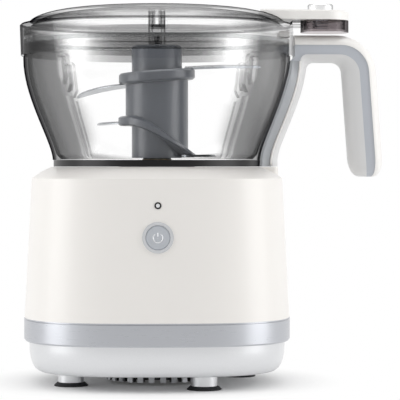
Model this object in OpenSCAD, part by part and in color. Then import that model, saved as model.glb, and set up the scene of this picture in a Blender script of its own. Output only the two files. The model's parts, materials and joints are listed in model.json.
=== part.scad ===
// Baby food maker: a motor base, a clear flared bowl with a handle, a two-level
// blade set on a central spindle, and a clear lid with a button arm.
// Sizes are in millimetres. Z is up, the front faces -Y, the handle is at +X.

/* [Base] */
// Half width of the housing at its lower edge
housing_foot_r = 85.2; // [84:0.1:92]
// How far the housing's wall leans in from its foot to the shoulder
housing_lean = 4.6; // [2:0.1:8]
// Height of the housing's leaning wall
housing_wall_h = 88.4; // [82:0.1:105]
// Height of the rounded shoulder above the wall
shoulder_h = 7.2; // [5:0.1:12]
// Width of the shoulder seen from above
shoulder_w = 12.1; // [9:0.1:14]
// Squareness of the base seen from above, where 2 is a circle
base_squareness = 3; // [2.4:0.1:4]
// Wall thickness of the housing
housing_wall = 2.8; // [2:0.1:4]
// Height of the metallic band under the housing
band_h = 14.6; // [9:0.1:18]
// How far the band stands proud of the housing's lower edge
band_proud = 0.3; // [0.1:0.1:1.5]
// Height of the rounded tray under the band
tray_h = 19.4; // [14:0.1:26]
// How far the tray's upper edge stands in from the housing's foot
tray_inset = 3; // [2.4:0.1:5]
// How far the tray's floor stands in from its upper edge
tray_bow = 7.8; // [5:0.1:10]
// Wall thickness of the tray
tray_wall = 2.6; // [2:0.1:4]

/* [Feet and vent] */
// How far the feet's centres stand in from the tray's floor
foot_inset = 12.3; // [11:0.1:18]
// Angle of the first foot from +X
foot_turn = 28; // [20:1:45]
// Radius of a suction pad
pad_r = 11; // [9.5:0.1:12]
// Height of a suction pad's flare
pad_h = 2.4; // [2:0.1:4]
// Radius of a leg
leg_r = 8.25; // [6.5:0.05:9]
// Height of a leg
leg_h = 7.1; // [5:0.1:12]
// Outer radius of the vent ring
vent_r = 33; // [30:0.5:38]
// Number of slots in the vent ring
vent_slots = 28; // [16:1:32]
// Height of the vent ring above the table
vent_clear = 1.8; // [1:0.1:3]

/* [Drive] */
// Radius of the motor can
motor_r = 32; // [30:0.5:36]
// Height of the motor can
motor_h = 46; // [40:0.5:48]
// Radius of the motor shaft
shaft_r = 4; // [3:0.1:4.5]
// Radius of the drive well in the deck
well_r = 19; // [18:0.1:21]
// Depth of the drive well
well_depth = 27; // [25:0.5:30]
// Radius of the two drive dogs
dog_r = 12; // [10:0.1:13]
// Number of teeth on a drive dog
dog_teeth = 3; // [3:1:5]

/* [Controls] */
// Height of the power button's centre above the housing's lower edge
button_up = 52.4; // [42:0.1:62]
// Radius of the power button
power_button_r = 7.5; // [6.5:0.1:9]
// Width of the bezel round the power button
bezel_w = 2.1; // [1.5:0.1:3]
// How far the power button goes in
power_travel = 2; // [1:0.1:2.5]
// Height of the indicator above the power button
led_up = 19.6; // [15:0.1:24]
// Radius of the indicator's dark ring
led_r = 2.15; // [1.6:0.05:3]
// Height of the cord inlet above the housing's lower edge
inlet_up = 14.3; // [13:0.1:24]
// Bore radius of the cord inlet
inlet_bore_r = 3.4; // [2.5:0.1:4]

/* [Bowl] */
// How far the dark ring under the bowl stands in from the bowl's foot
ring_inset = 0.5; // [0.2:0.1:2]
// Height of the dark ring
bowl_ring_h = 4.3; // [3.5:0.1:6]
// How far the bowl's foot stands in from the deck's edge
bowl_inset = 1; // [0.5:0.1:3]
// How far the bowl's mouth stands out from its foot
bowl_flare_w = 19; // [14:0.1:22]
// Height of the flared wall
bowl_flare_h = 65; // [58:0.5:80]
// Wall thickness of the bowl
bowl_wall = 2.8; // [2.2:0.1:3.4]
// Height of the neck that the lid's skirt covers
neck_h = 9.7; // [8:0.1:12]
// Depth of the ribs inside the bowl
rib_depth = 2.8; // [1.5:0.1:4]
// Width of the loop at the top of each rib
rib_loop_w = 7.6; // [6:0.1:10]

/* [Handle] */
// Depth of the strap from the bowl to its outer face
strap_depth = 11; // [9:0.1:14]
// Depth of the strap from the bowl to its ridge
ridge_depth = 5.9; // [4.5:0.1:7]
// Half width of the saddle that hugs the bowl
saddle_half_w = 19; // [15:0.5:22]
// Half width of the handle
grip_half_w = 12.5; // [10:0.1:14]
// Thickness of the grip's light inner layer
inner_t = 11.3; // [9:0.1:13]
// Thickness of the grip's middle layer
middle_t = 6.1; // [4:0.1:8]
// Thickness of the grip's white outer layer
outer_t = 5.7; // [4:0.1:7]
// Width of the finger gap at the top
finger_gap = 22.4; // [20:0.1:34]
// Lean of the grip away from the bowl, in degrees
grip_lean = 4.2; // [0:0.1:8]
// Height of the grip's lower end above the deck, negative for below
grip_drop = -6.3; // [-12:0.1:4]
// Radius of the handle's outer corner
corner_r = 26; // [22:0.5:30]

/* [Blades] */
// Radius of the hub
hub_r = 16.3; // [15:0.1:18]
// Radius of the sleeve round the hub
sleeve_r = 20.3; // [19:0.1:22]
// Radius of the skewed lower collar
fin_r = 25; // [23.5:0.1:27]
// Height of the upper collar's middle above the hub's foot
collar_up = 52.8; // [46:0.1:58]
// Gap from the upper right blade's tip to the bowl's wall
tip_gap_1 = 11; // [6:0.5:20]
// Gap from the upper left blade's tip to the bowl's wall
tip_gap_2 = 17; // [6:0.5:24]
// Gap from the lower left blade's tip to the bowl's wall
tip_gap_3 = 14; // [6:0.5:24]
// Gap from the lower right blade's tip to the bowl's wall
tip_gap_4 = 8; // [5:0.5:16]
// Thickness of a blade
blade_t = 1.4; // [1:0.1:2]
// Slope of the two upper blades, which rise to the right, in degrees
blade_rise = 4; // [0:0.5:5]
// Pitch of the upper blades about their length, in degrees
blade_pitch = 7; // [0:0.5:9]
// Radius of the spindle
spindle_r = 4; // [3:0.1:5]

/* [Lid] */
// Height of the skirt
skirt_h = 20; // [18:0.1:24]
// Thickness of the skirt at its lower edge
skirt_t = 1.9; // [1.6:0.1:3]
// Height of the dome above the shoulder
dome_h = 9.8; // [8:0.1:14]
// How far the dome's edge stands in from the bowl's mouth
dome_inset = 4; // [3.5:0.1:7]
// Thickness of the dome
dome_t = 2; // [1.6:0.1:2.6]
// Reach of the arm's cover beyond the skirt
arm_out = 36.1; // [33.5:0.1:42]
// Half width of the arm
arm_half_w = 17.4; // [15:0.1:19]
// Height of the arm's white cover
cover_h = 6.2; // [5.6:0.1:9]
// How far the lid button's top stands above the dome
arm_rise = 2.3; // [0:0.1:6]
// Radius of the lid button
lid_button_r = 8.2; // [7:0.1:9.5]
// How far the lid button stands above the cover
lid_button_proud = 4.5; // [3.4:0.1:6]
// How far the lid button goes down
lid_button_travel = 3; // [1.5:0.1:3.2]

/* [Hidden] */
$fn = 96;

// Clearances
seat_gap = 0.3;
running_gap = 0.05;
slide_gap = 0.08;
skirt_gap = 0.4;

// Widths that hang on the base's foot
housing_top_r = housing_foot_r - housing_lean;
deck_r = housing_top_r - shoulder_w;
tray_top_r = housing_foot_r - tray_inset;
tray_floor_r = tray_top_r - tray_bow;
foot_circle_r = tray_floor_r - foot_inset;
bowl_foot_r = deck_r - bowl_inset;
bowl_ring_r = bowl_foot_r - ring_inset;
bowl_mouth_r = bowl_foot_r + bowl_flare_w;
dome_r = bowl_mouth_r - dome_inset;

// Heights of the base, from the table up
leg_z = pad_h;
tray_z = leg_z + leg_h;
band_z = tray_z + tray_h;
housing_z = band_z + band_h;
shoulder_z = housing_z + housing_wall_h;
deck_z = shoulder_z + shoulder_h;
deck_t = housing_wall + 0.2;
band_r = housing_foot_r + band_proud;
wall_tilt = atan((housing_foot_r - housing_top_r) / housing_wall_h);

// Heights of the drive, from the deck down
well_t = 2.5;
well_floor_z = deck_z - well_depth;
dog_disc_h = 4;
dog_tooth_h = 7;
drive_dog_z = well_floor_z + 3;
driven_dog_z = drive_dog_z + dog_disc_h + dog_tooth_h + 1;
mount_t = 3;
mount_z = well_floor_z - well_t - 6.4;
can_z = mount_z - motor_h;
fan_h = 8;
fan_z = can_z - fan_h - 2;

// Heights of the bowl and the lid
bowl_z = deck_z + seat_gap;
flare_z = bowl_z + bowl_ring_h;
mouth_z = flare_z + bowl_flare_h;
bead_h = 1.9;
rim_z = mouth_z + neck_h;
floor_z = bowl_z + 2;
floor_t = 2.8;
neck_r = bowl_mouth_r - 0.8;
hub_z = floor_z + floor_t + 0.8;
skirt_z = mouth_z + bead_h + skirt_gap;
skirt_in_r = neck_r + skirt_gap;
skirt_top_r = skirt_in_r + skirt_t + 0.7;
lid_shoulder_z = skirt_z + skirt_h;
dome_z = lid_shoulder_z + 1.7;
dome_top_z = dome_z + dome_h;
gasket_h = 2.5;
gasket_z = rim_z + seat_gap;
shelf_z = gasket_z + gasket_h;

// Arm of the lid
button_top_z = dome_top_z + arm_rise;
cover_z = button_top_z - lid_button_proud - cover_h;
arm_reach = skirt_top_r + arm_out;
button_x = arm_reach - arm_half_w - 1.1;
puck_r = arm_half_w - 1.8;
puck_x = arm_reach - puck_r - 0.2;
puck_h = lid_button_travel + 4.7;
puck_z = cover_z - puck_h;

// Places of the handle
arch_z = puck_z - 1.6;
arch_white_t = 6.9;
arch_middle_t = 6.1;
arch_inner_t = 5.2;
arch_white_z = arch_z - arch_white_t;
arch_split_z = arch_white_z - arch_middle_t;
arch_under_z = arch_split_z - arch_inner_t;
gap_corner_r = 4.5;
ridge_corner_r = 4.4;
saddle_top_z = arch_split_z - ridge_corner_r;
grip_x = bowl_mouth_r + strap_depth + finger_gap;
grip_ref_z = arch_under_z - 12;
grip_end_z = deck_z + grip_drop;
grip_round = 12;
handle_reach = grip_x + inner_t + middle_t + outer_t
    + (grip_ref_z - grip_end_z - grip_round) * tan(grip_lean);

// The origin is under the middle of the whole machine
axis_x = (skirt_top_r - handle_reach) / 2;

// Colours
white = "#efede8";
silver = "#b9bcc0";
satin = "#d6d7d9";
black = "#26272a";
clear = [0.86, 0.88, 0.9, 0.35];
smoke = [0.55, 0.55, 0.57, 0.6];
hub_grey = "#5c6066";
band_grey = "#a9b0b8";
light_grey = "#d3d4d4";
steel = "#c9cbcd";
copper = "#b5713c";
bronze = "#a8895a";
board_green = "#2f6b47";

// ---- shared shapes ----

function lerp(a, b, t) = a + (b - a) * t;
function ease(t) = let (u = min(1, max(0, t))) u * u * (3 - 2 * u);

// Radius of a rounded square of half width half at angle a, where n = 2 gives a circle
function plan_r(half, n, a) = half / pow(pow(abs(cos(a)), n) + pow(abs(sin(a)), n), 1 / n);

// Points of an arc round c, ends included
function arc(c, r, a0, a1, steps) =
    [for (i = [0:steps]) let (a = lerp(a0, a1, i / steps)) c + r * [cos(a), sin(a)]];

// Solid through a stack of rings that have the same number of points
module loft(rings) {
    m = len(rings[0]);
    n = len(rings);
    last = (n - 1) * m;
    sides = [for (i = [0:n - 2], j = [0:m - 1]) let (k = (j + 1) % m)
        each [[i * m + j, (i + 1) * m + j, (i + 1) * m + k], [i * m + j, (i + 1) * m + k, i * m + k]]];
    // each end is zipped shut between the first and the second half of its ring
    cap = [for (t = [0:m - 3]) let (j = floor(t / 2))
        t % 2 == 0 ? [j, j + 1, m - 1 - j] : [j + 1, m - 2 - j, m - 1 - j]];
    polyhedron(points = [for (r = rings) each r],
        faces = concat(cap, sides, [for (t = cap) [last + t[2], last + t[1], last + t[0]]]),
        convexity = 8);
}

// Closed hoop through sections that stand round the axis, each given as [radius, height] points
// listed clockwise, seen with the radius to the right
module hoop(sections) {
    n = len(sections);
    m = len(sections[0]);
    points = [for (i = [0:n - 1], p = sections[i]) let (a = 360 * i / n)
        [p[0] * cos(a), p[0] * sin(a), p[1]]];
    faces = [for (i = [0:n - 1], j = [0:m - 1]) let (k = (j + 1) % m, h = (i + 1) % n)
        each [[i * m + j, h * m + j, h * m + k], [i * m + j, h * m + k, i * m + k]]];
    polyhedron(points = points, faces = faces, convexity = 8);
}

module on_axis() translate([axis_x, 0, 0]) children();

module ring(r_out, r_in, h) difference() {
    cylinder(r = r_out, h = h);
    translate([0, 0, -1]) cylinder(r = r_in, h = h + 2);
}

// Sector of a ring between two angles, as a flat outline
module sector(r_out, r_in, a0, a1) {
    polygon(concat(arc([0, 0], r_out, a0, a1, 12), arc([0, 0], r_in, a1, a0, 12)));
}

// ---- base ----

base_steps = 96;

// Outer radius of the housing's leaning wall at height z
function wall_r(z) = lerp(housing_foot_r, housing_top_r, (z - housing_z) / housing_wall_h);

// Frame on the housing's front wall at height z, with +Z going inward, square to the wall
module on_front(z) translate([0, -wall_r(z), z]) rotate([-90 - wall_tilt, 0, 0]) children();

// Shoulder between a quarter circle, 1, and a straight chamfer, 2
shoulder_curve = 1.75;

function housing_section(a) = let (
    foot = plan_r(housing_foot_r, base_squareness, a),
    foot_in = plan_r(housing_foot_r - housing_wall, base_squareness, a),
    top_in = plan_r(housing_top_r - housing_wall, base_squareness, a),
    shoulder = [for (i = [0:6]) let (
        t = i / 6,
        half = lerp(deck_r, housing_top_r, pow(cos(90 * t), shoulder_curve)))
        [plan_r(half, lerp(base_squareness, 2, ease(t)), a),
         shoulder_z + shoulder_h * pow(sin(90 * t), shoulder_curve)]])
    concat([[foot_in, housing_z], [top_in, shoulder_z - housing_wall],
        [plan_r(deck_r - housing_wall, 2, a), deck_z - deck_t], [well_r + well_t, deck_z - deck_t],
        [well_r + well_t, deck_z]],
        [for (i = [6:-1:0]) shoulder[i]], [[foot, housing_z]]);

module housing() on_axis() color(white) difference() {
    union() {
        hoop([for (i = [0:base_steps - 1]) housing_section(360 * i / base_steps)]);
        strap_block();
    }
    on_front(housing_z + button_up) translate([0, 0, -5])
        cylinder(r = power_button_r + bezel_w - 0.7, h = 15);
    on_front(housing_z + button_up + led_up) translate([0, 0, -5]) cylinder(r = led_r, h = 15);
    translate([0, wall_r(housing_z + inlet_up) - 8, housing_z + inlet_up]) rotate([-90, 0, 0])
        cylinder(r = inlet_bore_r + 3.6, h = 16);
}

// Block on the shoulder that carries the deck out to the handle's strap
module strap_block() {
    x_out = bowl_ring_r + strap_depth;
    x_in = deck_r - 8;
    translate([0, 0, shoulder_z - 1]) linear_extrude(shoulder_h + 1)
        polygon(concat(arc([x_out - 3, grip_half_w], 3, 90, 0, 5),
            arc([x_out - 3, -grip_half_w], 3, 0, -90, 5),
            [[x_in, -grip_half_w - 3], [x_in, grip_half_w + 3]]));
}

function band_section(a) = let (
    r = plan_r(band_r, base_squareness, a),
    inner = plan_r(band_r - 2.6, base_squareness, a))
    [[inner, band_z], [inner, housing_z], [r - 0.7, housing_z], [r - 0.7, housing_z - 0.8],
     [r, housing_z - 1.1], [r, band_z + 1], [r - 0.8, band_z]];

module trim_band() on_axis() color(silver)
    hoop([for (i = [0:base_steps - 1]) band_section(360 * i / base_steps)]);

// The tray's rim stands inside the band
tray_rim_z = band_z + band_h * 0.6;

function tray_section(a) = let (
    curve = [for (i = [0:6]) let (t = 15 * i) [
        plan_r(lerp(tray_floor_r, tray_top_r, pow(sin(t), 0.8)), base_squareness, a),
        tray_z + tray_h * 0.8 * (1 - cos(t))]],
    lip = plan_r(tray_top_r, base_squareness, a))
    concat([[vent_r - 7, tray_z], [vent_r - 7, tray_z + tray_wall],
        [plan_r(tray_floor_r - tray_wall, base_squareness, a), tray_z + tray_wall],
        [plan_r(tray_top_r - tray_wall, base_squareness, a), tray_z + tray_h * 0.6],
        [plan_r(tray_top_r - tray_wall, base_squareness, a), tray_rim_z], [lip, tray_rim_z]],
        [for (i = [6:-1:0]) curve[i]]);

module at_feet() for (i = [0:3]) rotate(foot_turn + 90 * i) translate([foot_circle_r, 0, 0]) children();

stem_r = 3;

module tray() on_axis() color(satin) difference() {
    union() {
        hoop([for (i = [0:base_steps - 1]) tray_section(360 * i / base_steps)]);
        at_feet() translate([0, 0, leg_z + 0.1]) cylinder(r = leg_r, h = leg_h, $fn = 48);
    }
    at_feet() cylinder(r = stem_r + slide_gap, h = tray_z + tray_wall + 1, $fn = 48);
}

module vent_ring() on_axis() color(silver) {
    slot_w = 2 * PI * vent_r / vent_slots / 2;
    translate([0, 0, vent_clear]) difference() {
        ring(vent_r, vent_r - 6, tray_z - vent_clear);
        for (i = [0:vent_slots - 1]) rotate(360 * i / vent_slots)
            translate([vent_r - 8, -slot_w / 2, -1]) cube([10, slot_w, tray_z - vent_clear - 1.5]);
    }
    translate([0, 0, vent_clear + 1.4]) cylinder(r = vent_r - 5.5, h = 1.6);
}

// Suction foot with its stem pushed up through the leg
module foot(i) on_axis() color(black)
    rotate(foot_turn + 90 * (i - 1)) translate([foot_circle_r, 0, 0]) rotate_extrude($fn = 64) {
        head_z = tray_z + tray_wall + running_gap;
        polygon([[0, 1.3], [4, 1.1], [pad_r - 3.5, 0], [pad_r - 0.4, 0], [pad_r, 0.5], [leg_r + 0.6, pad_h],
            [stem_r, pad_h], [stem_r, head_z], [stem_r + 1.4, head_z], [stem_r + 0.7, head_z + 2.2],
            [0, head_z + 2.2]]);
    }

// ---- drive ----

module drive_well() on_axis() color(light_grey) difference() {
    union() {
        translate([0, 0, well_floor_z - well_t])
            cylinder(r = well_r + well_t - running_gap, h = well_depth + well_t);
        translate([0, 0, deck_z]) cylinder(r = well_r + well_t + 3, h = 1);
    }
    translate([0, 0, well_floor_z]) cylinder(r = well_r, h = well_depth + 5);
    translate([0, 0, well_floor_z - well_t - 1]) cylinder(r = shaft_r + 1.5, h = 10);
}

bearing_r = 8;
post_circle_r = 34;
post_r = 4;

module motor_mount() on_axis() color(satin) {
    translate([0, 0, mount_z]) ring(motor_r + 8, bearing_r, mount_t);
    for (i = [0:3]) rotate(45 + 90 * i) translate([post_circle_r, 0, mount_z + mount_t / 2])
        cylinder(r = post_r, h = deck_z - deck_t - mount_z - mount_t / 2, $fn = 48);
}

module motor_bearing() on_axis() color(bronze) translate([0, 0, mount_z - 2])
    ring(bearing_r, shaft_r + running_gap, mount_t + 4);

can_t = 2;
bell_t = 3;

module motor_can() on_axis() color(silver) translate([0, 0, can_z + bell_t]) difference() {
    cylinder(r = motor_r, h = motor_h - bell_t);
    translate([0, 0, -1]) cylinder(r = motor_r - can_t, h = motor_h - bell_t - 1);
    cylinder(r = bearing_r, h = motor_h);
    for (i = [0:5]) rotate(60 * i) translate([0, -3, 6]) cube([motor_r + 2, 6, motor_h - 22]);
}

module motor_end_bell() on_axis() color(satin) translate([0, 0, can_z]) difference() {
    union() {
        cylinder(r = motor_r, h = bell_t);
        cylinder(r = bearing_r, h = bell_t + 3);
    }
    translate([0, 0, -1]) cylinder(r = shaft_r + running_gap, h = 12);
    for (i = [0:5]) rotate(60 * i + 30) translate([motor_r * 0.6, 0, -1]) cylinder(r = 5, h = 10, $fn = 48);
}

module motor_shaft() on_axis() color(steel)
    translate([0, 0, fan_z - 2]) cylinder(r = shaft_r, h = drive_dog_z + dog_disc_h - fan_z + 2);

commutator_r = 9;
commutator_h = 6;
commutator_up = 8;
core_r = motor_r - can_t - 5;
core_up = commutator_up + commutator_h;
core_h = motor_h - 24;
core_slot_w = 2;
core_slot_depth = 4;

// Wound armature with slots down its side and a commutator below
module armature() on_axis() color(copper) difference() {
    union() {
        translate([0, 0, can_z + core_up]) cylinder(r = core_r, h = core_h);
        translate([0, 0, can_z + commutator_up]) cylinder(r = commutator_r, h = commutator_h + 1);
    }
    cylinder(r = shaft_r, h = deck_z);
    for (i = [0:11]) rotate(30 * i)
        translate([core_r - core_slot_depth, -core_slot_w / 2, can_z + core_up - 1])
            cube([core_slot_depth + 1, core_slot_w, core_h + 2]);
}

module cooling_fan() on_axis() color(black) translate([0, 0, fan_z]) {
    difference() {
        union() {
            cylinder(r = motor_r - 4, h = 1.5);
            cylinder(r = shaft_r + 4, h = fan_h);
        }
        translate([0, 0, -1]) cylinder(r = shaft_r, h = fan_h + 2);
    }
    for (i = [0:8]) rotate(40 * i) translate([shaft_r + 4.5, 0, 1]) rotate(25)
        translate([0, -0.8, 0]) cube([motor_r - 18, 1.6, fan_h - 1]);
}

// Teeth of a drive dog, each a sector of a ring
module dog_teeth(turn, h) {
    pitch = 360 / dog_teeth;
    for (i = [0:dog_teeth - 1]) linear_extrude(h)
        sector(dog_r - 0.3, shaft_r + 2, turn + pitch * i, turn + pitch * i + pitch / 2 - 3);
}

module drive_dog() on_axis() color(black) translate([0, 0, drive_dog_z]) {
    ring(dog_r, shaft_r, dog_disc_h);
    translate([0, 0, dog_disc_h - 0.5]) dog_teeth(0, dog_tooth_h + 0.5);
}

// ---- controls ----

button_z = housing_z + button_up;
bezel_in_r = power_button_r + slide_gap;
board_depth = 14;
board_w = 48;
board_h = 46;
board_above = 30;
board_t = 1.6;
board_post_r = 2.5;
board_margin = 4;
board_post_x = board_w / 2 - board_margin;
switch_w = 6;
plunger_r = 1.7;
plunger_h = 1.4;
// How far the front wall falls back at x, and where the board's posts start behind it
function wall_drop(x) =
    housing_top_r * (1 - pow(1 - pow(x / housing_top_r, base_squareness), 1 / base_squareness));
post_start = housing_wall + wall_drop(board_post_x + board_post_r) + seat_gap;

module button_bezel() on_axis() color(steel) on_front(button_z) difference() {
    union() {
        translate([0, 0, -0.9]) cylinder(r = power_button_r + bezel_w, h = 0.85);
        translate([0, 0, -0.5]) cylinder(r = power_button_r + bezel_w - 0.75, h = 7);
    }
    translate([0, 0, -2]) cylinder(r = bezel_in_r, h = 12);
}

button_depth = 6.3;

module power_button() on_axis() color(light_grey) on_front(button_z) rotate_extrude() {
    polygon([[0, -0.45], [power_button_r - 0.7, -0.6], [power_button_r, -0.1], [power_button_r, 4.4],
        [3, 4.4], [3, button_depth], [0, button_depth]]);
}

module control_board() on_axis() on_front(button_z) {
    plunger_z = button_depth + power_travel + seat_gap;
    color(board_green) translate([-board_w / 2, -board_above, board_depth]) cube([board_w, board_h, board_t]);
    for (x = [-board_post_x, board_post_x], y = [board_margin, board_h - board_margin]) color(white)
        translate([x, y - board_above, post_start]) cylinder(r = board_post_r, h = board_depth - post_start);
    color(black) translate([-switch_w / 2, -switch_w / 2, plunger_z + plunger_h])
        cube([switch_w, switch_w, board_depth - plunger_z - plunger_h]);
    color(light_grey) translate([0, 0, plunger_z]) cylinder(r = plunger_r, h = plunger_h, $fn = 48);
}

module light_pipe() on_axis() color("#f4f5f6") on_front(button_z + led_up)
    translate([0, 0, -0.25]) cylinder(r = led_r - 0.9, h = board_depth, $fn = 48);

module led_ring() on_axis() color(black) on_front(button_z + led_up)
    translate([0, 0, -0.35]) ring(led_r, led_r - 0.9, 4);

module cord_inlet() on_axis() color(black)
    translate([0, wall_r(housing_z + inlet_up), housing_z + inlet_up]) rotate([-90, 0, 0]) difference() {
        union() {
            translate([0, 0, 0.5]) cylinder(r = inlet_bore_r + 6, h = 2);
            translate([0, 0, -6]) cylinder(r = inlet_bore_r + 3.5, h = 9.5);
            translate([0, 0, -6]) cylinder(r = inlet_bore_r + 5.6, h = 2.4);
        }
        translate([0, 0, -10]) cylinder(r = inlet_bore_r, h = 20);
    }

// ---- bowl ----

// Flared wall: a curve that starts and ends upright, as [height, radius] pairs
flare_steps = 18;
flare_start = 0.18;
flare_end = 0.62;
function flare_point(u) = let (
    t = 3 * pow(1 - u, 2) * u * flare_start + 3 * (1 - u) * u * u * flare_end + pow(u, 3),
    f = 3 * pow(1 - u, 2) * u * 0.02 + 3 * (1 - u) * u * u + pow(u, 3))
    [lerp(flare_z, mouth_z, t), lerp(bowl_foot_r, bowl_mouth_r, f)];
flare = [for (i = [0:flare_steps]) flare_point(i / flare_steps)];
function bowl_r(z) = lookup(z, flare);

boss_r = 14;
bush_r = 9.5;
boss_drop = 10;

module bowl() on_axis() color(clear) difference() {
    union() {
        rotate_extrude() polygon(concat(
            [[bush_r, floor_z - boss_drop], [boss_r, floor_z - boss_drop], [boss_r, floor_z],
             [bowl_ring_r - 7.2, floor_z], [bowl_ring_r - 7.2, flare_z - 0.1],
             [bowl_foot_r - 0.6, flare_z - 0.1]],
            [for (p = flare) [p[1], p[0]]],
            [[bowl_mouth_r, mouth_z + bead_h], [neck_r, mouth_z + bead_h], [neck_r, rim_z],
             [bowl_mouth_r - bowl_wall, rim_z]],
            [for (i = [flare_steps:-1:2]) [flare[i][1] - bowl_wall, flare[i][0]]],
            [[bowl_foot_r - bowl_wall, floor_z + floor_t + 2.5],
             [bowl_foot_r - bowl_wall - 2.5, floor_z + floor_t], [bush_r, floor_z + floor_t]]));
        for (i = [0:3]) rotate(45 + 90 * i) rib();
    }
    for (i = [0:3]) rotate(45 + 90 * i) rib_pocket();
}

rib_w = 4;
rib_top_z = mouth_z + 1.5;
rib_loop_z = mouth_z - 23;
ridge_top = 12;

// Outline of the rib's loop, looking along the radius: a round top that narrows to a point below
module loop_outline(inset) {
    half = rib_loop_w / 2 - inset;
    low = rib_loop_z + 3 * inset;
    polygon(concat(arc([0, rib_top_z - inset - half], half, 0, 180, 12),
        [[-half, low + 5], [0, low], [half, low + 5]]));
}

// Band along the wall between two depths from its outer face, from the loop's foot to above the mouth
module wall_band(depth_out, depth_in) rotate_extrude() polygon(concat(
    [for (i = [6:flare_steps]) [flare[i][1] - depth_out, flare[i][0]]],
    [[bowl_mouth_r - depth_out, mouth_z + 5], [bowl_mouth_r - depth_in, mouth_z + 5]],
    [for (i = [flare_steps:-1:6]) [flare[i][1] - depth_in, flare[i][0]]]));

rib_skin = 1.6;

module rib() {
    // ridge down the inside of the wall, from inside the loop to the floor
    ridge_in = bowl_wall + rib_depth - 0.5;
    rotate([90, 0, 0]) translate([0, 0, -rib_w / 2]) linear_extrude(rib_w) polygon(concat(
        [for (i = [1:ridge_top]) [flare[i][1] - bowl_wall + 1, flare[i][0]]],
        [for (i = [ridge_top:-1:1]) [flare[i][1] - ridge_in, flare[i][0]]],
        [[flare[1][1] - ridge_in, floor_z + floor_t - 0.5],
         [flare[1][1] - bowl_wall + 1, floor_z + floor_t - 0.5]]));
    intersection() {
        rotate([90, 0, 90]) linear_extrude(bowl_mouth_r + 5) loop_outline(0);
        wall_band(1, bowl_wall + rib_depth);
    }
}

// Hollow behind the loop, moulded from outside
module rib_pocket() intersection() {
    rotate([90, 0, 90]) linear_extrude(bowl_mouth_r + 5) loop_outline(rib_skin);
    wall_band(-2, bowl_wall + rib_depth - rib_skin);
}

module bowl_ring() on_axis() color(black) translate([0, 0, bowl_z]) difference() {
    cylinder(r = bowl_ring_r, h = bowl_ring_h - 0.15);
    translate([0, 0, -1]) cylinder(r = bowl_ring_r - 7, h = 10);
}

module bowl_bush() on_axis() color(bronze) translate([0, 0, floor_z - boss_drop])
    ring(bush_r, spindle_r + running_gap, boss_drop + floor_t);

module spindle_seal() on_axis() color(black) translate([0, 0, floor_z + floor_t])
    ring(bush_r - 0.5, spindle_r + 0.25, 3);

// ---- handle ----

// Sections of a layer between its gap side and its far side, as [depth, width] pairs
nose = 2.15;
function nose_in() = concat([[1, -1]],
    [for (i = [5:-1:-5]) let (a = 90 - 90 * abs(i) / 6)
        [1 - 0.98 * pow(sin(a), 2 / nose), -sign(i) * pow(cos(a), 2 / nose)]],
    [[1, 1]]);
function nose_out() = [for (p = nose_in()) [1 - p[0], -p[1]]];
function straight() = [[1, -1], [0, -1], [0, 1], [1, 1]];

// Ring of a layer from its point a on one side to b on the other, as [x, z], with half width w
function layer_ring(a, b, w, section) =
    [for (s = section) let (p = a + s[0] * (b - a)) [p[0], s[1] * w, p[1]]];

module layer(side_a, side_b, widths, section)
    loft([for (i = [0:len(side_a) - 1]) layer_ring(side_a[i], side_b[i], widths[i], section)]);

strap_steps = 14;
corner_steps = 10;
grip_steps = 3;
end_steps = 6;

// Line of the strap's side at a depth from the bowl, up to height z1
function strap_line(depth, z1) =
    [for (i = [0:strap_steps]) let (z = lerp(bowl_z, z1, i / strap_steps)) [bowl_r(z) + depth, z]];

// Line of one side of the grip: along the arch at height z, round its corner, down and round the end
function grip_line_x(offset, z) = grip_x + offset + (grip_ref_z - z) * tan(grip_lean);
function grip_side(offset, z, r) = let (
    c = [grip_line_x(offset, z - r + r * sin(grip_lean)) - r * cos(grip_lean), z - r],
    end_z = grip_end_z + grip_round,
    grip_t = inner_t + middle_t + outer_t,
    mid = grip_t / 2)
    concat(arc(c, r, 90, grip_lean, corner_steps),
        [for (i = [1:grip_steps]) let (h = lerp(z - r, end_z, i / grip_steps)) [grip_line_x(offset, h), h]],
        [for (i = [1:end_steps]) let (t = 90 * i / end_steps, h = end_z - grip_round * sin(t))
            [lerp(grip_line_x(mid, h), grip_line_x(offset, h), end_scale(t)), h]]);
function end_scale(t) = 0.42 + 0.58 * cos(t);
grip_widths = concat([for (i = [0:corner_steps + grip_steps]) 1],
    [for (i = [1:end_steps]) end_scale(90 * i / end_steps)]);

inner_corner_r = 6.5;
middle_corner_r = 13;
white_corner_r = 18;

gap_side = concat(strap_line(strap_depth, arch_under_z - gap_corner_r),
    arc([bowl_r(arch_under_z - gap_corner_r) + strap_depth + gap_corner_r, arch_under_z - gap_corner_r],
        gap_corner_r, 170, 90, 5),
    grip_side(0, arch_under_z, inner_corner_r));
ridge_side = concat(strap_line(ridge_depth, saddle_top_z),
    arc([bowl_r(saddle_top_z) + ridge_depth + ridge_corner_r, saddle_top_z], ridge_corner_r, 170, 90, 5),
    grip_side(inner_t, arch_split_z, middle_corner_r));
inner_widths = concat([for (i = [0:strap_steps + 6]) grip_half_w - 0.5 * ease(1 - i / 6)],
    grip_half_w * grip_widths);

module handle_inner() on_axis() color(light_grey) layer(gap_side, ridge_side, inner_widths, nose_in());

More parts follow.
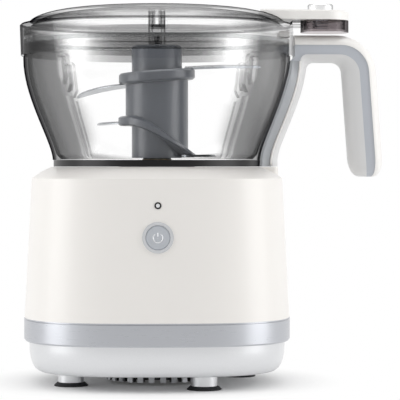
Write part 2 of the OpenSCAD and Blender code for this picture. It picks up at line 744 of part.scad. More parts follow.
// Middle layer: from the top of the saddle, clear of the lid's skirt, along the arch and down the grip
skirt_clear_x = skirt_top_r + seat_gap;
middle_a = concat([[bowl_r(saddle_top_z) + ridge_depth, saddle_top_z]],
    arc([bowl_r(saddle_top_z) + ridge_depth + ridge_corner_r, saddle_top_z], ridge_corner_r, 170, 90, 5),
    grip_side(inner_t, arch_split_z, middle_corner_r));
middle_b = concat([[bowl_r(saddle_top_z) + seat_gap, saddle_top_z],
        [bowl_mouth_r + seat_gap, saddle_top_z + 0.6], [skirt_clear_x, skirt_z - 0.8],
        [skirt_clear_x, lerp(skirt_z, arch_white_z, 0.35)], [skirt_clear_x, lerp(skirt_z, arch_white_z, 0.7)],
        [skirt_clear_x, arch_white_z], [skirt_clear_x + 3, arch_white_z]],
    grip_side(inner_t + middle_t, arch_white_z, white_corner_r));

module handle_middle() on_axis() color(band_grey)
    layer(middle_a, middle_b, (grip_half_w - 0.6) * concat([1, 1, 1, 1, 1, 1, 1], grip_widths), straight());

module handle_outer() on_axis() color(white)
    layer(concat([[skirt_clear_x, arch_white_z]],
            grip_side(inner_t + middle_t, arch_white_z, white_corner_r)),
        concat([[skirt_clear_x, arch_z]], grip_side(inner_t + middle_t + outer_t, arch_z, corner_r)),
        grip_half_w * concat([1], grip_widths), nose_out());

// Saddle that hugs the bowl from its foot to the arch and carries the strap's ridge
function saddle_ring(z) = let (
    r = bowl_r(z) + seat_gap,
    t = (z - bowl_z) / (saddle_top_z - bowl_z),
    low_w = lerp(saddle_half_w * 0.8, saddle_half_w, ease(t * 1.4)),
    w = lerp(low_w, grip_half_w + 0.8, ease(t * 4 - 3)),
    x_ridge = bowl_r(z) + ridge_depth)
    concat([for (i = [-5:5]) let (y = -w * i / 5) [sqrt(r * r - y * y), y, z]],
        [for (s = [-1, 1], i = [0:4]) let (
            u = s < 0 ? i / 4 : 1 - i / 4,
            y = lerp(w, grip_half_w - 0.6, pow(u, 0.8)))
            [lerp(sqrt(r * r - w * w) + 1.6, x_ridge, pow(u, 1.6)), s * y, z]]);

module handle_saddle() on_axis() color(band_grey)
    loft([for (i = [0:strap_steps]) saddle_ring(lerp(bowl_z, saddle_top_z, i / strap_steps))]);

// ---- blades ----

hub_h = 72.8;
hub_top_z = hub_z + hub_h;
hub_recess_r = 6.2;
hub_recess_h = 8.5;
hub_foot_r = 11;

module blade_spindle() on_axis() color(steel) {
    spindle_top_z = hub_top_z - hub_recess_h - 3;
    translate([0, 0, driven_dog_z - dog_tooth_h])
        cylinder(r = spindle_r, h = spindle_top_z - driven_dog_z + dog_tooth_h);
}

module driven_dog() on_axis() color(black) {
    translate([0, 0, driven_dog_z]) ring(dog_r, spindle_r, floor_z - boss_drop - driven_dog_z - 0.6);
    translate([0, 0, driven_dog_z - dog_tooth_h]) dog_teeth(180 / dog_teeth, dog_tooth_h + 0.5);
}

module blade_hub() on_axis() color(hub_grey) difference() {
    rotate_extrude() polygon([[0, hub_z], [hub_r, hub_z], [hub_r, hub_top_z - 1],
        [hub_r - 1, hub_top_z], [0, hub_top_z]]);
    translate([0, 0, hub_z - 1]) cylinder(r = hub_foot_r, h = 7);
    translate([0, 0, hub_z - 1]) cylinder(r = spindle_r, h = hub_h - hub_recess_h - 2);
    translate([0, 0, hub_top_z - hub_recess_h]) cylinder(r = hub_recess_r, h = 20);
}

// Heights of the sleeve's skewed lower collar: high at -X, sweeping down to the hub's foot at +X
fin_high = 26.8;
fin_low = 3.3;
function turn_from_left(a) = abs(((a + 360) % 360) - 180);
function fin_top(a) = hub_z + lerp(fin_high, fin_low, ease((turn_from_left(a) - 40) / 135));
function fin_t(a) = lerp(6, 3, ease((turn_from_left(a) - 40) / 135));
collar_skew = 1.7;
collar_half_t = 3.5;
function collar_z(a) = hub_z + collar_up + collar_skew * cos(a);
sleeve_steps = 60;
sleeve_in_r = (hub_r + 0.02) / cos(180 / sleeve_steps);

function sleeve_section(a) = let (top = fin_top(a), low = top - fin_t(a), c = collar_z(a), h = collar_half_t)
    [[sleeve_in_r, low], [sleeve_in_r, c + h], [fin_r - 1.5, c + h], [fin_r - 0.3, c + h - 1.2],
     [fin_r - 0.3, c - h + 1.2], [fin_r - 1.5, c - h], [sleeve_r, c - h - 0.6], [sleeve_r, top + 0.6],
     [fin_r - 1.3, top], [fin_r, top - 0.9], [fin_r, low + 0.9], [fin_r - 1.3, low]];

module blade_sleeve() on_axis() color(hub_grey)
    hoop([for (i = [0:sleeve_steps - 1]) sleeve_section(360 * i / sleeve_steps)]);

// Sickle blade: its middle line is a curve from the root at angle root_a to the tip at angle tip_a,
// and the blade narrows to its tip and is ground thin on its outer, leading edge
blade_steps = 10;
tip_w = 1.4;
function polar(r, a) = r * [cos(a), sin(a)];
function blade_line(root, reach, root_a, tip_a, s) =
    pow(1 - s, 2) * polar(root, root_a) + 2 * s * (1 - s) * polar(0.62 * reach, lerp(root_a, tip_a, 0.12))
    + s * s * polar(reach, tip_a);
function blade_side(root, reach, root_a, tip_a, w, side, inset) = [for (i = [0:blade_steps]) let (
    s = i / blade_steps,
    p = blade_line(root, reach, root_a, tip_a, s),
    d = blade_line(root, reach, root_a, tip_a, s + 0.01) - blade_line(root, reach, root_a, tip_a, s - 0.01),
    n = [-d[1], d[0]] / norm(d),
    half = w / 2 * (1 - pow(s, 3)) + tip_w / 2)
    p + side * n * (half - inset * (1 - 0.85 * s))];
function blade_ring(root, reach, root_a, tip_a, w, inset, z) = let (
    back = blade_side(root, reach, root_a, tip_a, w, -1, 0),
    front = blade_side(root, reach, root_a, tip_a, w, 1, inset))
    concat([for (p = back) [p[0], p[1], z]], [for (i = [blade_steps:-1:0]) [front[i][0], front[i][1], z]]);

module blade(root, tip_gap, root_a, tip_a, w, z, rise, pitch) on_axis() color(steel)
    translate([0, 0, z]) rotate([pitch, -rise, 0]) {
        reach = bowl_r(z) - bowl_wall - tip_gap;
        loft([for (k = [[0, 0], [0, 0.3], [2.4, blade_t]])
            blade_ring(root, reach, root_a, tip_a, w, k[0], k[1])]);
    }

blade_w = 13;
blade_root_r = sleeve_r - 2;
upper_right_z = hub_z + collar_up + collar_half_t;
upper_left_z = hub_z + collar_up - collar_half_t - blade_t;
lower_left_z = hub_z + fin_high - 3 - blade_t / 2;
lower_right_z = hub_z + 0.6;

module blade_1() blade(blade_root_r, tip_gap_1, 2, -26, blade_w, upper_right_z, blade_rise, blade_pitch);
module blade_2() blade(blade_root_r, tip_gap_2, 178, 145, blade_w, upper_left_z, blade_rise, -blade_pitch);
module blade_3() blade(blade_root_r, tip_gap_3, 174, 128, blade_w, lower_left_z, blade_rise / 2, 0);
module blade_4() blade(blade_root_r, tip_gap_4, -6, -54, blade_w, lower_right_z, 0, 0);

// ---- lid ----

function dome_height(r, edge) = dome_h * pow(max(0, 1 - pow(r / edge, 4)), 2 / 3);
dome_steps = 16;
function dome_line(edge, z, grow) = [for (i = [0:dome_steps]) let (r = edge * sin(90 * i / dome_steps))
    [r, z + dome_height(r, edge) + grow]];

plug_r = bowl_mouth_r - bowl_wall - 1.3;
plug_t = 1.8;
peg_r = 5.5;

module lid() on_axis() color(clear) {
    inner_edge = dome_r - dome_t;
    inner_z = dome_z - dome_t;
    rotate_extrude() polygon(concat(
        dome_line(dome_r, dome_z, 0),
        [[skirt_top_r - 1.2, lid_shoulder_z + 0.5], [skirt_top_r, lid_shoulder_z - 0.6],
         [skirt_in_r + skirt_t, skirt_z], [skirt_in_r, skirt_z], [skirt_in_r, shelf_z],
         [plug_r, shelf_z], [plug_r, rim_z - 3], [plug_r - plug_t, rim_z - 3], [plug_r - plug_t, shelf_z + 2],
         [skirt_in_r, shelf_z + 2], [skirt_in_r, lid_shoulder_z - 2.6]],
        [for (i = [dome_steps:-1:0]) dome_line(inner_edge, inner_z, 0)[i]]));
    // centre peg that steadies the top of the blade hub
    translate([0, 0, hub_top_z - 5]) ring(peg_r, peg_r - 2, dome_top_z - dome_t / 2 - hub_top_z + 5);
    for (a = [90, 180, 270]) rotate(a) lid_lug();
    // tongue that carries the arm
    difference() {
        translate([skirt_top_r - 1.4, -12, puck_z + 0.8])
            cube([puck_x - puck_r - skirt_top_r + 4, 24, puck_h - 1.2]);
        translate([puck_x, 0, puck_z - 1]) cylinder(r = puck_r, h = puck_h + 2);
    }
}

// Pair of upright ribs and a web inside the skirt, above the shelf
module lid_lug() {
    for (y = [-5, 5]) translate([plug_r - 0.5, y - 0.8, shelf_z + 1.9])
        cube([skirt_in_r - plug_r + 1, 1.6, 5.5]);
    translate([plug_r - 0.5, -5, shelf_z + 1.9]) cube([1.4, 10, 5.5]);
}

module lid_gasket() on_axis() color("#e4e4e2") translate([0, 0, gasket_z]) difference() {
    cylinder(r = skirt_in_r - 0.1, h = gasket_h);
    translate([0, 0, -1]) cylinder(r = plug_r + 0.1, h = 10);
}

// Catch block inside the skirt, under the arm
module lid_catch() on_axis() color(white) translate([0, 0, shelf_z + 2]) difference() {
    rotate(-8) linear_extrude(3.6) sector(skirt_in_r - 0.05, skirt_in_r - 6.5, 0, 16);
    rotate(-2) translate([0, 0, 1.4]) linear_extrude(3.6) sector(skirt_in_r - 1.5, skirt_in_r - 5, 0, 4);
}

puck_floor = 1.8;
puck_wall = 2.2;

// Hollow smoky body under the arm's cover
module arm_body() on_axis() color(smoke) translate([puck_x, 0, puck_z]) difference() {
    cylinder(r = puck_r, h = puck_h);
    translate([0, 0, puck_floor]) cylinder(r = puck_r - puck_wall, h = puck_h);
}

// Outline of the arm's cover: a round end on a neck that widens towards the dome
function cover_ring(z, inset) = let (
    r = arm_half_w - inset,
    near_w = arm_half_w + 3 - inset,
    root_w = arm_half_w + 6 - inset)
    [for (p = concat([[dome_r - 16, -root_w], [dome_r + 4, -near_w]],
            arc([arm_reach - arm_half_w, 0], r, -90, 90, 24),
            [[dome_r + 4, near_w], [dome_r - 16, root_w]]))
        [p[0], p[1], z]];

cover_wall = 2;

module arm_cover() on_axis() color(white) difference() {
    loft([cover_ring(cover_z, 0), cover_ring(cover_z + cover_h - 1, 0),
        cover_ring(cover_z + cover_h - 0.3, 0.4), cover_ring(cover_z + cover_h, 1.1)]);
    // hollow over the arm's body
    translate([puck_x, 0, cover_z - 1]) cylinder(r = puck_r - puck_wall, h = cover_h + 1 - cover_wall);
    translate([button_x, 0, cover_z - 1]) cylinder(r = lid_button_r + slide_gap, h = cover_h + 5);
    // seat on the dome
    rotate_extrude() polygon(concat([[0, cover_z - 30]], dome_line(dome_r + seat_gap, dome_z + seat_gap, 0),
        [[skirt_top_r + seat_gap, lid_shoulder_z + seat_gap + 0.6], [skirt_top_r + seat_gap, cover_z - 30]]));
}

flange_h = 2;
cap_z = cover_z + cover_h - cover_wall - seat_gap - flange_h;

module lid_button() on_axis() color("#dfe2e4") translate([button_x, 0, 0]) rotate_extrude() {
    polygon([[0, cap_z], [lid_button_r + 1.4, cap_z], [lid_button_r + 1.4, cap_z + flange_h],
        [lid_button_r, cap_z + flange_h], [lid_button_r, button_top_z - 0.8],
        [lid_button_r - 0.8, button_top_z], [lid_button_r - 2.2, button_top_z],
        [lid_button_r - 3, button_top_z - 0.5], [0, button_top_z - 0.5]]);
}

module button_spring() on_axis() color(steel) translate([button_x, 0, puck_z + puck_floor + seat_gap])
    ring(5.5, 4.5, cap_z - puck_z - puck_floor - 2 * seat_gap);

housing();
trim_band();
tray();
vent_ring();
for (i = [1:4]) foot(i);
drive_well();
motor_mount();
motor_can();
motor_bearing();
motor_end_bell();
button_bezel();
control_board();
light_pipe();
led_ring();
cord_inlet();
motor_shaft();
armature();
cooling_fan();
drive_dog();
power_button();
bowl();
bowl_ring();
bowl_bush();
spindle_seal();
handle_saddle();
handle_inner();
handle_middle();
handle_outer();
blade_spindle();
driven_dog();
blade_hub();
blade_sleeve();
blade_1();
blade_2();
blade_3();
blade_4();
lid();
lid_gasket();
lid_catch();
arm_body();
arm_cover();
lid_button();
button_spring();
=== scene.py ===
"""Finish of a baby food maker: a white motor base, a clear bowl with a handle, steel blades and a clear
domed lid with its arm and button."""

import json
import math

import bmesh
import bpy
from mathutils import Matrix, Vector

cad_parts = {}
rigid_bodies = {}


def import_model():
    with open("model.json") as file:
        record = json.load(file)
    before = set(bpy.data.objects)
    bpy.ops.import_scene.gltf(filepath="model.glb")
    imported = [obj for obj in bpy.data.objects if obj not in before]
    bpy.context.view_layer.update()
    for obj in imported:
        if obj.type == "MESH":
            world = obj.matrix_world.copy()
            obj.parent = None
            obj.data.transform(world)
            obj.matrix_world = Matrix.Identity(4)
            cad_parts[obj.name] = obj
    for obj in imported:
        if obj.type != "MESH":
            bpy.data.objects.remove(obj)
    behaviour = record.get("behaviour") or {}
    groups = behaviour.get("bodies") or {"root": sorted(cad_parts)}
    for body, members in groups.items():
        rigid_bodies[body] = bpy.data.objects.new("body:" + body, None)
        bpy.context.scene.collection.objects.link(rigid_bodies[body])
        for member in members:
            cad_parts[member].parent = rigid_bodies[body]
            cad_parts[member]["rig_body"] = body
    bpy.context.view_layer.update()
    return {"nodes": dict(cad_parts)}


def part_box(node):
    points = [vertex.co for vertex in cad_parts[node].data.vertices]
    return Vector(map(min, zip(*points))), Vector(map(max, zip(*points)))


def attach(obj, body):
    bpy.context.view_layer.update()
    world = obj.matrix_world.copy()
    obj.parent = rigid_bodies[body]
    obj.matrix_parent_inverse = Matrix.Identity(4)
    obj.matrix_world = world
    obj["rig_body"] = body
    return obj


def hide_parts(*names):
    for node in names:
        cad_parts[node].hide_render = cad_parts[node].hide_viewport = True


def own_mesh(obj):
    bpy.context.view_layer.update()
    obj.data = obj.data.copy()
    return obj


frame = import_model()
mm = 0.001

# Places that the dressing shares with the model: the axis of base, bowl and lid, and on the front wall the
# height of the power button, how far the wall leans back, and where it stands at that height
housing_low, housing_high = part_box("housing")
axis_x = (housing_low.x + housing_high.x) / 2
button_z = 95.9 * mm
wall_tilt = math.radians(2.979)
front_y = -82.473 * mm
# Inside of the vent's castellations, where painted shade starts, and reach of the white handle's painted
# light on the clear walls beside it
vent_shade_r = 31.4 * mm
painted_light_reach = (axis_x + 60 * mm, axis_x + 78 * mm)


# ---- shared tools ----

def linear(code):
    """An sRGB hex colour as linear red, green, blue and a full alpha."""
    parts = [int(code[i:i + 2], 16) / 255 for i in (1, 3, 5)]
    return tuple(p / 12.92 if p <= 0.04045 else ((p + 0.055) / 1.055) ** 2.4 for p in parts) + (1.0,)


def dimmed(colour, part):
    """A linear colour that has lost this part of its light."""
    return tuple(c * (1 - part) for c in colour[:3]) + (1.0,)


def put(tree, kind, values=None, **settings):
    """Adds a node, with its settings, and its inputs as values or as links from other nodes' outputs."""
    made = tree.nodes.new(kind)
    for name, value in settings.items():
        setattr(made, name, value)
    for name, value in (values or {}).items():
        if isinstance(value, bpy.types.NodeSocket):
            tree.links.new(value, made.inputs[name])
        else:
            made.inputs[name].default_value = value
    return made


def fresh(name):
    """An empty material, its tree, and the place on the piece that its patterns follow."""
    material = bpy.data.materials.new(name)
    material.use_nodes = True
    tree = material.node_tree
    tree.nodes.clear()
    return material, tree, put(tree, "ShaderNodeTexCoord").outputs["Object"]


def per(size):
    """Texture scale for a pattern whose parts are this many millimetres across."""
    return 1 / (size * mm)


def placed(name, data):
    """A new object of the scene that holds this mesh, lamp or camera."""
    made = bpy.data.objects.new(name, data)
    bpy.context.scene.collection.objects.link(made)
    return made


# ---- finishes ----

def moulded(name, colour, roughness, skin=0.5, depth=0.003, drift=0.03, wax=0.0, ior=1.54):
    """Injection-moulded plastic: even colour that drifts a little with the wall, and the fine spark-eroded
    skin of the mould, which breaks the highlights up."""
    material, tree, where = fresh(name)
    flow = put(tree, "ShaderNodeTexNoise", {"Vector": where, "Scale": per(35), "Detail": 1.0}).outputs["Fac"]
    pale = linear(colour)
    shade = put(tree, "ShaderNodeMix", {0: flow, 6: dimmed(pale, drift), 7: pale},
                data_type="RGBA").outputs[2]
    # the mould's grit is about 0.05 mm, drawn at the size of skin so that it shows
    grit = put(tree, "ShaderNodeTexNoise", {"Vector": where, "Scale": per(skin),
                                            "Detail": 2.0}).outputs["Fac"]
    gloss = put(tree, "ShaderNodeMapRange", {"Value": grit, "From Min": 0.3, "From Max": 0.7,
                                             "To Min": roughness * 0.9,
                                             "To Max": roughness * 1.12}).outputs[0]
    bump = put(tree, "ShaderNodeBump", {"Height": grit, "Strength": 0.25, "Distance": depth * mm}).outputs[0]
    plastic = put(tree, "ShaderNodeBsdfPrincipled", {"Base Color": shade, "Roughness": gloss, "IOR": ior,
                                                     "Coat Weight": wax, "Coat Roughness": 0.12,
                                                     "Normal": bump})
    put(tree, "ShaderNodeOutputMaterial", {"Surface": plastic.outputs[0]})
    return material


def flaked(name, colour, roughness, metallic):
    """Sprayed metallic lacquer on plastic: fine bright flakes under a soft gloss."""
    material, tree, where = fresh(name)
    # flakes are about 0.05 mm, drawn at 0.4 mm so that they show
    flake = put(tree, "ShaderNodeTexVoronoi", {"Vector": where, "Scale": per(0.4)}).outputs["Color"]
    level = put(tree, "ShaderNodeRGBToBW", {"Color": flake}).outputs[0]
    pale = linear(colour)
    shade = put(tree, "ShaderNodeMix", {0: level, 6: dimmed(pale, 0.04), 7: pale},
                data_type="RGBA").outputs[2]
    gloss = put(tree, "ShaderNodeMapRange", {"Value": level, "To Min": roughness * 0.93,
                                             "To Max": roughness * 1.07}).outputs[0]
    lacquer = put(tree, "ShaderNodeBsdfPrincipled", {"Base Color": shade, "Metallic": metallic,
                                                     "Roughness": gloss, "Coat Weight": 0.25,
                                                     "Coat Roughness": 0.15})
    put(tree, "ShaderNodeOutputMaterial", {"Surface": lacquer.outputs[0]})
    return material


def metal(name, colour, roughness, stretch=(1, 1, 1), pitch=0.5, depth=0.004, drift=0.12):
    """Bare metal with the fine lines that grinding, turning or drawing leaves along one way."""
    material, tree, where = fresh(name)
    # such lines are about 0.1 mm apart, drawn at their pitch so that they show
    along = put(tree, "ShaderNodeMapping", {"Vector": where, "Scale": stretch}).outputs[0]
    line = put(tree, "ShaderNodeTexNoise", {"Vector": along, "Scale": per(pitch),
                                            "Detail": 3.0}).outputs["Fac"]
    pale = linear(colour)
    shade = put(tree, "ShaderNodeMix", {0: line, 6: dimmed(pale, drift), 7: pale},
                data_type="RGBA").outputs[2]
    gloss = put(tree, "ShaderNodeMapRange", {"Value": line, "From Min": 0.3, "From Max": 0.7,
                                             "To Min": roughness * 0.8, "To Max": roughness * 1.2}).outputs[0]
    bump = put(tree, "ShaderNodeBump", {"Height": line, "Strength": 0.4, "Distance": depth * mm}).outputs[0]
    bare = put(tree, "ShaderNodeBsdfPrincipled", {"Base Color": shade, "Metallic": 1.0, "Roughness": gloss,
                                                  "Normal": bump})
    put(tree, "ShaderNodeOutputMaterial", {"Surface": bare.outputs[0]})
    return material


def clear_moulded(name, rim, shades, zones=(), lit=0.0, body="#FFFFFF", haze=0.03, sheen=0.015,
                  rim_sheen=0.6):
    """Thin clear plastic, of IOR about 1.55: almost nothing where it faces the eye, and painted shade, grey
    and then nearly black in its rim colour, where its wall turns away, for the dark room that its edges show.

    Each of shades gives where the wall, from 0 for facing to 1 for edge-on, starts and ends to lose light to
    that painted shade, and the part that it loses; a part below 0 is lost before its start instead. Level
    walls show the sky and lose none of it. Each of zones is a band of the wall with more painted shade: its
    lowest and highest millimetre, its own shades, and the shades that it gets as it turns to the left or
    right. Lit is the part of the walls' painted shade that painted light from the white handle takes back in
    the wall beside it."""
    material, tree, where = fresh(name)
    ripple = put(tree, "ShaderNodeTexNoise", {"Vector": where, "Scale": per(18),
                                              "Detail": 1.0}).outputs["Fac"]
    bump = put(tree, "ShaderNodeBump", {"Height": ripple, "Strength": 0.05,
                                        "Distance": 0.02 * mm}).outputs[0]
    turned = put(tree, "ShaderNodeLayerWeight", {"Blend": 0.5}).outputs["Facing"]
    normal = put(tree, "ShaderNodeNewGeometry").outputs["Normal"]
    ways = put(tree, "ShaderNodeSeparateXYZ", {0: normal}).outputs
    across = put(tree, "ShaderNodeMath", {0: ways[0]}, operation="ABSOLUTE").outputs[0]
    lean = put(tree, "ShaderNodeMath", {0: ways[2]}, operation="ABSOLUTE").outputs[0]
    upright = put(tree, "ShaderNodeMapRange", {"Value": lean, "From Min": 0.75, "From Max": 0.94,
                                               "To Min": 1.0, "To Max": 0.0}).outputs[0]
    place = put(tree, "ShaderNodeSeparateXYZ", {0: where}).outputs
    # painted light: beside the white handle, part of the walls' painted shade is taken back
    beside = put(tree, "ShaderNodeMapRange", {"Value": place[0], "From Min": painted_light_reach[0],
                                              "From Max": painted_light_reach[1], "To Min": 1.0,
                                              "To Max": 1.0 - lit},
                 interpolation_type="SMOOTHSTEP").outputs[0]
    wall = put(tree, "ShaderNodeMath", {0: upright, 1: beside}, operation="MULTIPLY").outputs[0]
    steps = [(turned, wall, *shade) for shade in shades]
    # each zone adds painted shade in its band of height, by how far the wall turns from the eye and to the
    # sides
    for low, high, extra, sideways in zones:
        over = put(tree, "ShaderNodeMath", {0: place[2], 1: low * mm}, operation="GREATER_THAN").outputs[0]
        under = put(tree, "ShaderNodeMath", {0: place[2], 1: high * mm}, operation="LESS_THAN").outputs[0]
        inside = put(tree, "ShaderNodeMath", {0: over, 1: under}, operation="MULTIPLY").outputs[0]
        steps += [(turned, inside, *shade) for shade in extra]
        steps += [(across, inside, *shade) for shade in sideways]
    left = 1.0
    for turn, mask, start, end, part in steps:
        loss = put(tree, "ShaderNodeMapRange", {"Value": turn, "From Min": start, "From Max": end,
                                                "To Min": max(0.0, -part), "To Max": max(0.0, part)},
                   interpolation_type="SMOOTHSTEP").outputs[0]
        there = put(tree, "ShaderNodeMath", {0: loss, 1: mask}, operation="MULTIPLY").outputs[0]
        left = put(tree, "ShaderNodeMath", {0: left, 1: there}, operation="SUBTRACT").outputs[0]
    # painted shade: as light is lost, the clear colour turns to the rim colour, in what passes and in the
    # gloss
    painted_shade_tint = put(tree, "ShaderNodeMix", {0: left, 6: linear(rim), 7: linear(body)}, data_type="RGBA").outputs[2]
    see = put(tree, "ShaderNodeBsdfTransparent", {"Color": painted_shade_tint}).outputs[0]
    shine = put(tree, "ShaderNodeBsdfGlossy", {"Color": painted_shade_tint, "Roughness": haze, "Normal": bump}).outputs[0]
    # a face sends back little head-on, and the most at its rims
    steep = put(tree, "ShaderNodeMath", {0: turned, 1: 5.0}, operation="POWER").outputs[0]
    mirror = put(tree, "ShaderNodeMapRange", {"Value": steep, "To Min": sheen,
                                              "To Max": rim_sheen}).outputs[0]
    pane = put(tree, "ShaderNodeMixShader", {0: mirror, 1: see, 2: shine}).outputs[0]
    put(tree, "ShaderNodeOutputMaterial", {"Surface": pane})
    return material


def frosted(name, through, body, share, roughness):
    """Clouded plastic or silicone: part of the light passes, and a share comes back in the body's colour."""
    material, tree, where = fresh(name)
    cloud = put(tree, "ShaderNodeTexNoise", {"Vector": where, "Scale": per(6), "Detail": 2.0}).outputs["Fac"]
    part = put(tree, "ShaderNodeMapRange", {"Value": cloud, "To Min": share * 0.9,
                                            "To Max": share * 1.1}).outputs[0]
    bump = put(tree, "ShaderNodeBump", {"Height": cloud, "Strength": 0.2, "Distance": 0.02 * mm}).outputs[0]
    see = put(tree, "ShaderNodeBsdfTransparent", {"Color": linear(through)}).outputs[0]
    solid = put(tree, "ShaderNodeBsdfPrincipled", {"Base Color": linear(body), "Roughness": roughness,
                                                   "IOR": 1.5, "Normal": bump}).outputs[0]
    clouded = put(tree, "ShaderNodeMixShader", {0: part, 1: see, 2: solid}).outputs[0]
    put(tree, "ShaderNodeOutputMaterial", {"Surface": clouded})
    return material


def wound_copper(name):
    """Enamelled copper wire in layers on a laminated core: fine orange-brown ridges with a lacquer gloss, and
    painted shade that darkens the grooves between the turns.
    """
    material, tree, where = fresh(name)
    # wire of 0.5 mm, drawn 2 mm apart so that its turns show, as a wave is 0.31 of the size in its scale
    turns = put(tree, "ShaderNodeTexWave", {"Vector": where, "Scale": per(6.3), "Distortion": 1.0},
                bands_direction="Z").outputs["Fac"]
    # painted shade: dark brown where the turns dip, light orange on their crowns
    shade = put(tree, "ShaderNodeMix", {0: turns, 6: linear("#6B3A1C"), 7: linear("#C07A42")},
                data_type="RGBA").outputs[2]
    bump = put(tree, "ShaderNodeBump", {"Height": turns, "Strength": 0.6, "Distance": 0.2 * mm}).outputs[0]
    wire = put(tree, "ShaderNodeBsdfPrincipled", {"Base Color": shade, "Metallic": 0.6, "Roughness": 0.35,
                                                  "Normal": bump})
    put(tree, "ShaderNodeOutputMaterial", {"Surface": wire.outputs[0]})
    return material


def slotted_vent(name):
    """Metallic-lacquered castellations; their inner faces get painted shade, near black, for the dark
    motor room behind them.
    """
    material, tree, where = fresh(name)
    centred = put(tree, "ShaderNodeVectorMath", {0: where, 1: (-axis_x, 0, 0)}, operation="ADD").outputs[0]
    flat = put(tree, "ShaderNodeVectorMath", {0: centred, 1: (1, 1, 0)}, operation="MULTIPLY").outputs[0]
    radius = put(tree, "ShaderNodeVectorMath", {0: flat}, operation="LENGTH").outputs["Value"]
    outer = put(tree, "ShaderNodeMath", {0: radius, 1: vent_shade_r}, operation="GREATER_THAN").outputs[0]
    # inside the castellations: painted shade, near black; outside them: the silver lacquer
    shade = put(tree, "ShaderNodeMix", {0: outer, 6: linear("#17181A"), 7: linear("#CDCFD2")},
                data_type="RGBA").outputs[2]
    shine = put(tree, "ShaderNodeMath", {0: outer, 1: 0.6}, operation="MULTIPLY").outputs[0]
    vent = put(tree, "ShaderNodeBsdfPrincipled", {"Base Color": shade, "Metallic": shine, "Roughness": 0.42})
    put(tree, "ShaderNodeOutputMaterial", {"Surface": vent.outputs[0]})
    return material


# gives the base's rounded corners a broad soft highlight, with a thin polish over it
white_abs = moulded("white_abs_gloss_moulded", "#F2EFEB", 0.36, skin=0.4, depth=0.004, drift=0.02, wax=0.08)
# the same white, a little glossier, for the small covers
warm_white = moulded("white_abs_cover_moulded", "#F1EFEC", 0.32, skin=0.4, depth=0.004, drift=0.02)
# a cool stripe between the handle's two pale layers
blue_grey = moulded("blue_grey_abs_moulded", "#BDC1C8", 0.34)
# the handle's foot on the bowl, a shade darker than the stripe
saddle_grey = moulded("grey_abs_saddle_moulded", "#A4A7AB", 0.34)
# dull, dry look where the fingers hold
soft_grey = moulded("light_grey_soft_touch_moulded", "#DFDFDF", 0.42, skin=0.8, depth=0.004)
# smooth mid grey with long upright highlights on the blade hub and its sleeve
hub_plastic = moulded("dark_grey_pom_moulded", "#54585F", 0.3, skin=0.3, depth=0.001)
# near black with a dull shine, for what hides in the base and at the back
black_plastic = moulded("black_pa_moulded", "#1B1C1E", 0.4)
# deeper black with little reflection, for the thin rings round the bowl's foot and the light
satin_black = moulded("black_abs_satin_moulded", "#040405", 0.34, ior=1.4)
# matt black that swallows highlights, for feet and seal
black_rubber = moulded("black_tpe_moulded", "#202124", 0.72, skin=1.0, depth=0.02)
# a plain pale well in the deck, with a soft shade at its bottom
well_plastic = moulded("pale_grey_pp_moulded", "#C4C6C8", 0.4)
# green glossy board with a slight weave in its gloss
board_resin = moulded("green_glass_epoxy_board", "#2F6B47", 0.35, skin=0.8)
# hairlines run round the band and stretch its highlights sideways
band_metal = metal("satin_metallised_band", "#BEC0C5", 0.33, stretch=(0.02, 0.02, 1), pitch=0.4, depth=0.02,
                   drift=0.03)
# pale silver with a soft bright patch at each corner
tray_lacquer = flaked("silver_lacquered_tray", "#DFE0E2", 0.3, 0.8)
# darker, duller silver on the button, and a pearly ring round it
button_lacquer = flaked("silver_lacquered_button", "#C6CAD0", 0.4, 0.5)
bezel_lacquer = flaked("pearl_lacquered_bezel", "#DDDFE2", 0.25, 0.4)
# mirror-bright lines of the sign
chrome = metal("chrome_plated_sign", "#E6E7E8", 0.08, depth=0.0005, drift=0.03)
# blades are stamped from 1.4 mm strip and ground along their length, which draws their glints out
blade_steel = metal("stainless_blade_ground", "#A2A5A9", 0.24, stretch=(0.15, 1, 1), pitch=0.6, depth=0.006)
# rings of the lathe round each shaft
turned_steel = metal("turned_steel_shaft", "#C4C6C9", 0.22, stretch=(0.2, 0.2, 1), pitch=0.4)
# cloudy grey plating on the motor's case and bracket
zinc_steel = metal("zinc_plated_steel_pressed", "#B6B9BD", 0.34, pitch=2.0, depth=0.01)
# bright round wire
spring_steel = metal("drawn_spring_wire", "#BFC2C6", 0.25, pitch=0.5)
# brown, grainy and dull
sintered = metal("sintered_bronze", "#76684F", 0.5, pitch=0.6, depth=0.02)
windings = wound_copper("enamelled_copper_windings")
vent_finish = slotted_vent("lacquered_vent_painted_shade")
# painted shade for the dark room that the walls show: clear in the middle, grey from a third of the way out,
# with a dark line at the outline; beside the white handle, painted light takes part of it back
clear_bowl = clear_moulded("clear_copolyester_bowl", "#101018",
                           [(0.2, 0.4, 0.3), (0.42, 0.66, 0.1), (0.69, 0.8, 0.4), (0.8, 0.88, 0.19)],
                           lit=0.3)
# painted shade for the dark room that the lid shows: grey where the skirt laps the bowl's rim, a dark line at
# its shoulder, and a dome with dark top and sides; beside the white handle, painted light takes back most of
# its walls' shade
lap_zone = (211, 226, [(0.0, 0.2, -0.36)], [])
shoulder_zone = (230.2, 231.5, [(-1.0, -0.9, 0.4)], [])
dome_zone = (231.5, 260, [(0.9, 0.95, 0.2), (0.92, 0.94, 0.85)], [(0.14, 0.44, 0.3)])
clear_lid = clear_moulded("clear_copolyester_lid", "#12121A",
                          [(0.25, 0.45, 0.24), (0.45, 0.65, 0.26), (0.75, 0.84, 0.3)],
                          zones=(lap_zone, shoulder_zone, dome_zone), lit=0.75)
# smoky all through, and painted shade that grows darker towards its edges
smoked = clear_moulded("smoked_polycarbonate_arm", "#242022", [(-1.0, -0.9, 0.2), (0.2, 0.7, 0.45)],
                       body="#E6E2E3", haze=0.06)
